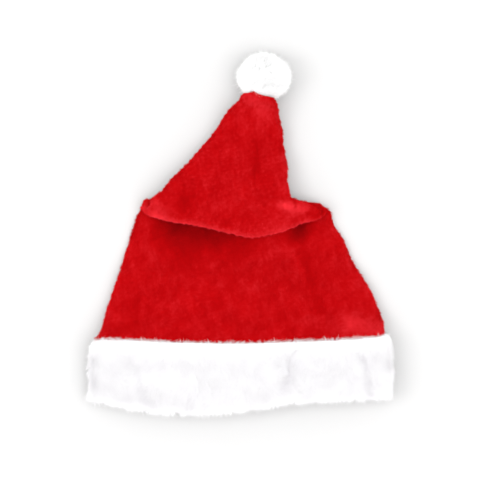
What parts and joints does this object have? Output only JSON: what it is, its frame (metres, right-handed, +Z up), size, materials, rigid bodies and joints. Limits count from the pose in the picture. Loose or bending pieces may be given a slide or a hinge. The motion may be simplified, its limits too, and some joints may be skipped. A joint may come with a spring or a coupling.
{
  "type": "santa hat",
  "caption": "Plush cone-shaped santa hat lying flat with its tip folded over the front, a wide furry cuff round its mouth and a fluffy pompom.",
  "frame": {"origin": "middle of the lying hat's outline, on the surface that it lies on", "axes": "+Z up from that surface, out of the hat's front; +Y from the mouth towards the pompom; +X to the right when the front is seen with the pompom at the top"},
  "size_m": [0.3025, 0.3563, 0.0467],
  "materials": {
    "crown": "short red plush",
    "cuff": "white plush, pile about 8 mm",
    "pompom": "long white pile"
  },
  "bodies": {
    "root": {"crown": "crown", "cuff": "cuff", "pompom": "pompom"}
  },
  "joints": []
}
